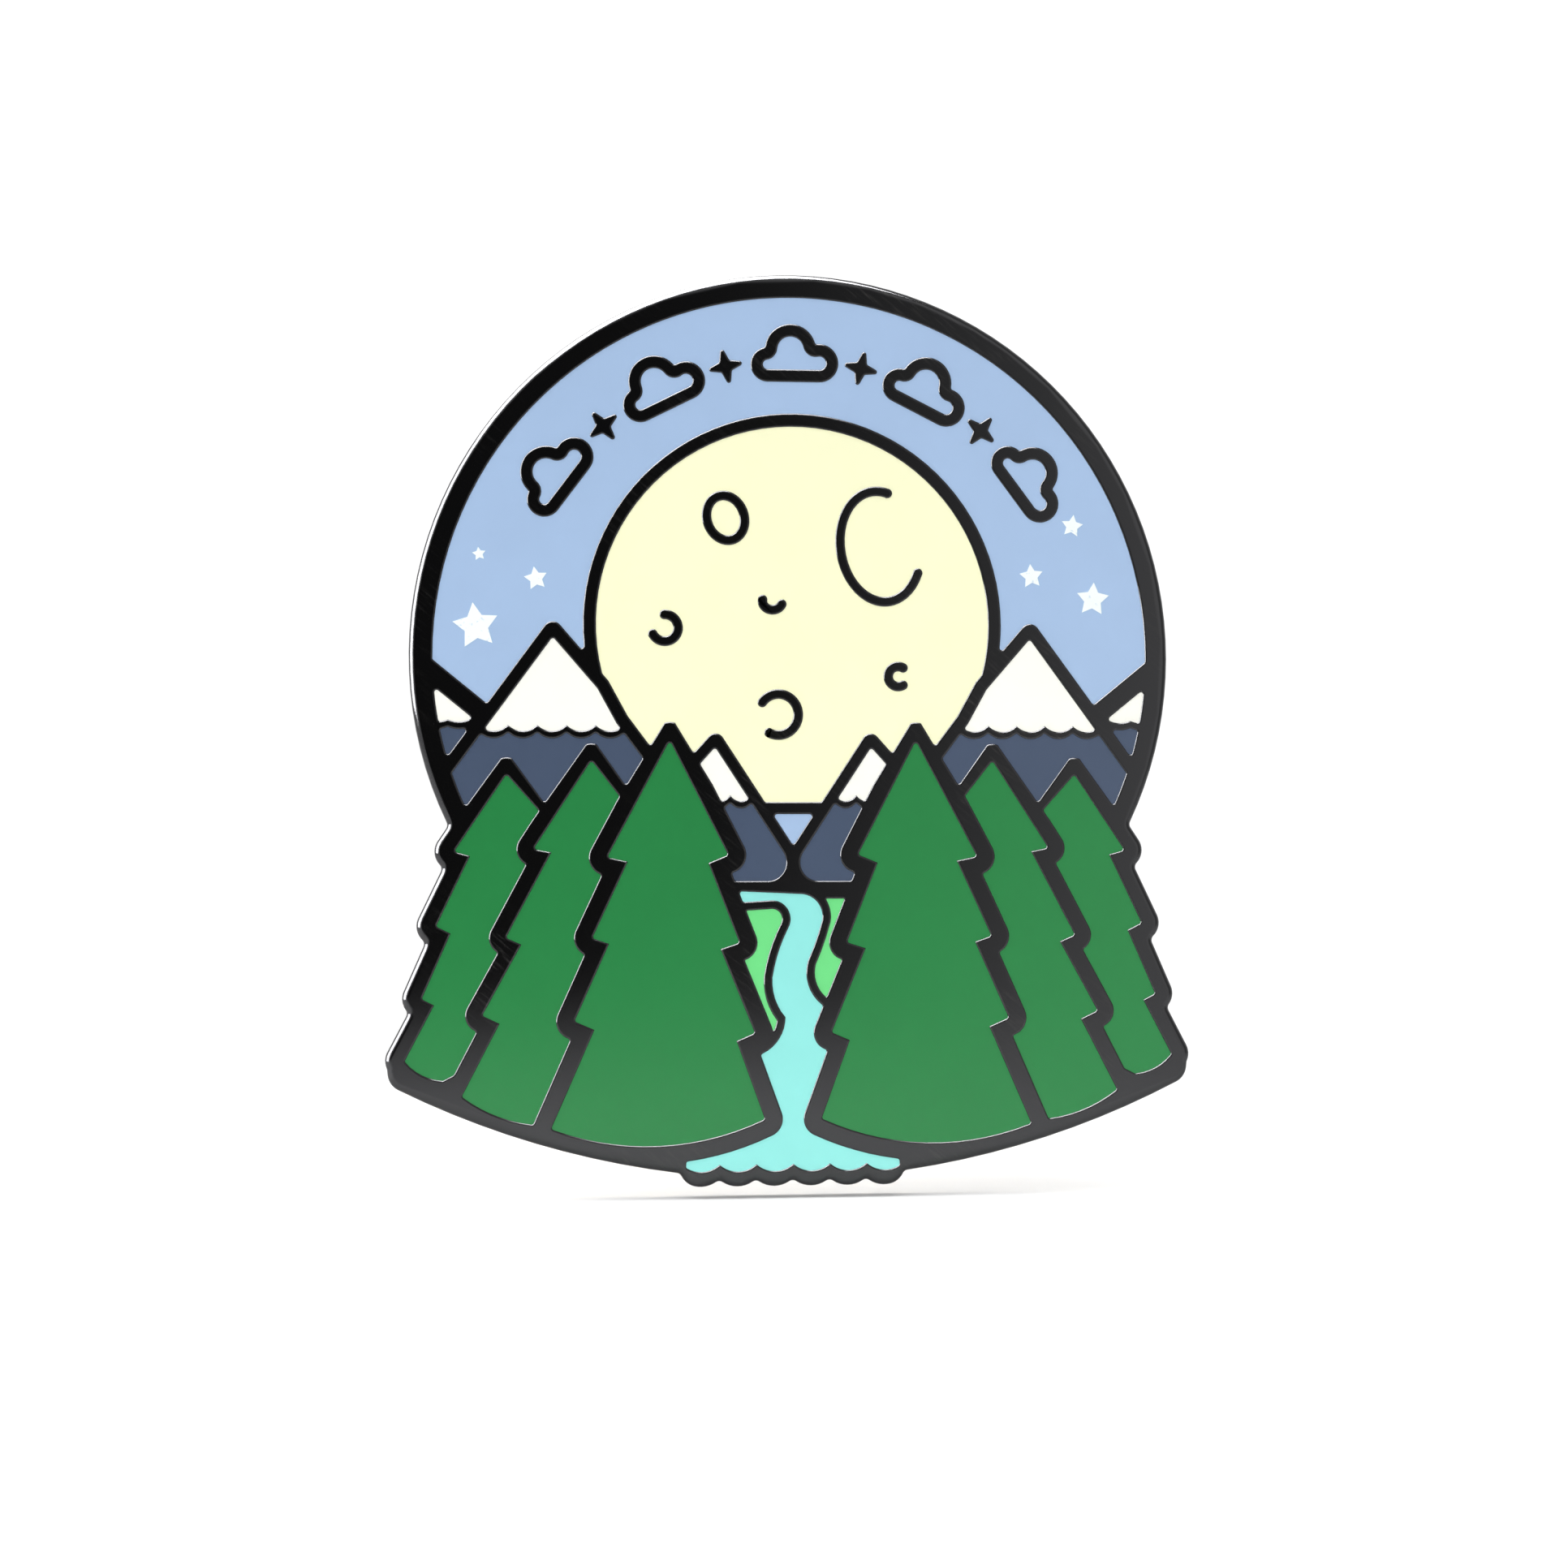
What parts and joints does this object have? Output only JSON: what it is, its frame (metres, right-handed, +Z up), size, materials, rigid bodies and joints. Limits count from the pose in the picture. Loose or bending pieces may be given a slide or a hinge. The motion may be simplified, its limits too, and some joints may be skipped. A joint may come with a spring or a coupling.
{
  "type": "enamel pin",
  "caption": "Enamel lapel pin: a cream moon behind snowy mountains, pines and a river under a cloud band, in black nickel lines, with posts and butterfly clutches behind.",
  "frame": {"origin": "middle of the plate's flat back face: on the middle line of the pin, level with its two posts", "axes": "the enamelled face looks along -Y and the posts point along +Y; +Z is up as the pin is worn; +X is to the right of someone looking at the enamel"},
  "size_m": [0.034, 0.0099, 0.0381],
  "materials": {
    "black_nickel": "black nickel plate over struck metal, polished",
    "sky_enamel": "hard enamel, polished flat, light blue",
    "moon_enamel": "hard enamel, polished flat, cream yellow",
    "snow_enamel": "hard enamel, polished flat, warm white",
    "rock_enamel": "hard enamel, polished flat, slate blue",
    "pine_enamel": "hard enamel, polished flat, green",
    "river_enamel": "hard enamel, polished flat, aqua",
    "grass_enamel": "hard enamel, polished flat, light green",
    "star_ink": "thin printed ink, white, satin",
    "post_nickel": "nickel plated post and flange",
    "solder": "solder, dull grey",
    "clutch_brass": "drawn brass sheet, polished",
    "wing_brass": "spring brass sheet, polished",
    "spring_steel": "spring steel leaf"
  },
  "bodies": {
    "pin": {"base_plate": "black_nickel", "cloud_1_enamel": "sky_enamel", "cloud_2_enamel": "sky_enamel", "cloud_3_enamel": "sky_enamel", "cloud_4_enamel": "sky_enamel", "cloud_5_enamel": "sky_enamel", "crater_floor_enamel": "moon_enamel", "left_far_rock_enamel": "rock_enamel", "left_far_snow_enamel": "snow_enamel", "left_front_tree_enamel": "pine_enamel", "left_grass_enamel": "grass_enamel", "left_middle_tree_enamel": "pine_enamel", "left_near_rock_enamel": "rock_enamel", "left_near_snow_enamel": "snow_enamel", "left_outer_tree_enamel": "pine_enamel", "left_peak_rock_enamel": "rock_enamel", "left_peak_snow_enamel": "snow_enamel", "left_post": "post_nickel", "left_solder": "solder", "left_star_1": "star_ink", "left_star_2": "star_ink", "left_star_3": "star_ink", "moon_enamel": "moon_enamel", "right_far_rock_enamel": "rock_enamel", "right_far_snow_enamel": "snow_enamel", "right_front_tree_enamel": "pine_enamel", "right_grass_enamel": "grass_enamel", "right_middle_tree_enamel": "pine_enamel", "right_near_rock_enamel": "rock_enamel", "right_near_snow_enamel": "snow_enamel", "right_outer_tree_enamel": "pine_enamel", "right_peak_rock_enamel": "rock_enamel", "right_peak_snow_enamel": "snow_enamel", "right_post": "post_nickel", "right_solder": "solder", "right_star_1": "star_ink", "right_star_2": "star_ink", "right_star_3": "star_ink", "river_enamel": "river_enamel", "sky_enamel": "sky_enamel", "valley_sky_enamel": "sky_enamel"},
    "left_clutch": {"left_clutch_cup": "clutch_brass", "left_clutch_cover": "clutch_brass", "left_jaw_spring": "spring_steel"},
    "left_outer_lever": {"left_outer_wing": "wing_brass"},
    "left_inner_lever": {"left_inner_wing": "wing_brass"},
    "right_clutch": {"right_clutch_cup": "clutch_brass", "right_clutch_cover": "clutch_brass", "right_jaw_spring": "spring_steel"},
    "right_outer_lever": {"right_outer_wing": "wing_brass"},
    "right_inner_lever": {"right_inner_wing": "wing_brass"}
  },
  "joints": [
    {"name": "left_clutch_slide", "type": "slide", "parent": "pin", "child": "left_clutch", "axis": [0, 1, 0], "range_m": [-0.0021, 0.012]},
    {"name": "left_outer_wing_squeeze", "type": "hinge", "parent": "left_clutch", "child": "left_outer_lever", "pos_m": [-0.0116, 0.00455, 0], "axis": [0, 0, -1], "range_deg": [0, 12], "stiffness_Nm_per_rad": 0.012},
    {"name": "left_inner_wing_squeeze", "type": "hinge", "parent": "left_clutch", "child": "left_inner_lever", "pos_m": [-0.0044, 0.00455, 0], "axis": [0, 0, -1], "range_deg": [-12, 0], "stiffness_Nm_per_rad": 0.012},
    {"name": "right_clutch_slide", "type": "slide", "parent": "pin", "child": "right_clutch", "axis": [0, 1, 0], "range_m": [-0.0021, 0.012]},
    {"name": "right_outer_wing_squeeze", "type": "hinge", "parent": "right_clutch", "child": "right_outer_lever", "pos_m": [0.0116, 0.00455, 0], "axis": [0, 0, 1], "range_deg": [0, 12], "stiffness_Nm_per_rad": 0.012},
    {"name": "right_inner_wing_squeeze", "type": "hinge", "parent": "right_clutch", "child": "right_inner_lever", "pos_m": [0.0044, 0.00455, 0], "axis": [0, 0, 1], "range_deg": [-12, 0], "stiffness_Nm_per_rad": 0.012}
  ],
  "couplings": [
    {"joint": "left_inner_wing_squeeze", "follows": "left_outer_wing_squeeze", "ratio": -1},
    {"joint": "right_inner_wing_squeeze", "follows": "right_outer_wing_squeeze", "ratio": -1}
  ]
}
